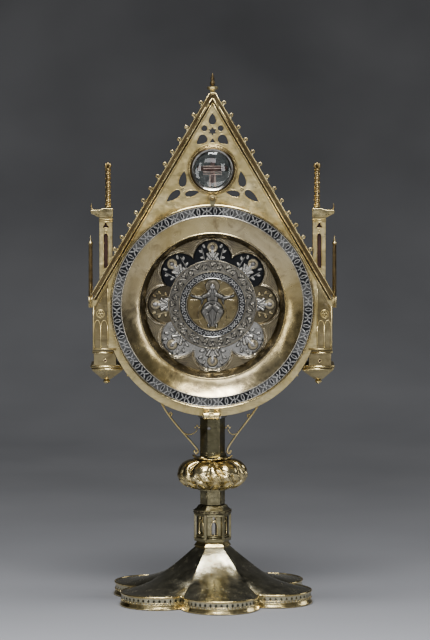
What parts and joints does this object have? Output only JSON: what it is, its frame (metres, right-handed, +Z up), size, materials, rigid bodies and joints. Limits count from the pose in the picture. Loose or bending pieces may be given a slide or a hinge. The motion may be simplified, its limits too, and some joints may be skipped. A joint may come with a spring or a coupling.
{
  "type": "monstrance",
  "caption": "Gothic gabled monstrance on a six-lobed foot: a hinged niello paten closes a round relic case under a pierced gable with a domed crystal.",
  "frame": {"origin": "on the axis of the stem at the underside of the foot", "axes": "+Z up along the stem; the shown face with the paten looks along -Y; +X to the right of someone facing it"},
  "size_m": [0.1598, 0.1358, 0.3415],
  "materials": {
    "gilt_pale": "pale worn gilding, satin",
    "gilt_olive": "dull olive gilding with a soft shine",
    "gilt_bright": "bright polished gilding",
    "gilt_copper": "brown copper showing through gilding",
    "silver_bare": "tarnished silver",
    "silver_niello": "parcel-gilt silver inlaid with dark niello",
    "rock_crystal": "polished domed crystal",
    "relic_wood": "dark old wood"
  },
  "bodies": {
    "case_and_foot": {"case_back": "gilt_pale", "case_drum": "gilt_pale", "gable_front": "gilt_pale", "roof_left": "gilt_pale", "roof_right": "gilt_pale", "side_wall_left": "gilt_pale", "side_wall_right": "gilt_pale", "paten_seat": "gilt_pale", "pier_left": "gilt_pale", "pier_right": "gilt_pale", "pier_cap_left": "gilt_pale", "pier_cap_right": "gilt_pale", "ridge_cap": "gilt_pale", "stem_collar": "gilt_pale", "lantern_wall": "gilt_pale", "lantern_frame": "gilt_pale", "lantern_cornice": "gilt_pale", "lower_neck": "gilt_pale", "knop_base_ring": "gilt_pale", "foot_dome": "gilt_olive", "foot_gallery": "gilt_olive", "foot_flange": "gilt_olive", "upper_stem": "gilt_olive", "knop_lower": "gilt_bright", "knop_upper": "gilt_bright", "knop_crest": "gilt_bright", "strut_left": "gilt_bright", "strut_right": "gilt_bright", "gable_moulding_left": "gilt_bright", "gable_moulding_right": "gilt_bright", "crockets_left": "gilt_bright", "crockets_right": "gilt_bright", "finial_collar": "gilt_bright", "corbel_left": "gilt_bright", "corbel_right": "gilt_bright", "corbel_knob_left": "gilt_bright", "corbel_knob_right": "gilt_bright", "hinge_bracket": "gilt_bright", "finial_spike": "gilt_copper", "crystal_bezel": "gilt_copper", "pinnacle_left": "gilt_copper", "pinnacle_right": "gilt_copper", "fin_left": "gilt_copper", "fin_right": "gilt_copper", "foot_washer": "silver_bare", "tie_nut": "silver_bare", "tie_rod": "silver_bare", "lantern_core": "silver_bare", "case_tang": "silver_bare", "stem_pin": "silver_bare", "relic_cup": "silver_bare", "hinge_pin": "silver_bare", "catch_post": "silver_bare", "crystal": "rock_crystal", "relic_cross": "relic_wood"},
    "paten_door": {"paten": "silver_niello", "paten_rim": "gilt_bright", "hinge_leaf": "gilt_bright"},
    "top_catch": {"catch": "silver_bare"}
  },
  "joints": [
    {"name": "paten_hinge", "type": "hinge", "parent": "case_and_foot", "child": "paten_door", "pos_m": [-0.00065, -0.0195, 0.1216], "axis": [1, 0, 0], "range_deg": [0, 95]},
    {"name": "catch_turn", "type": "hinge", "parent": "case_and_foot", "child": "top_catch", "pos_m": [0, -0.0219, 0.2612], "axis": [0, 1, 0], "range_deg": [-90, 90]}
  ]
}
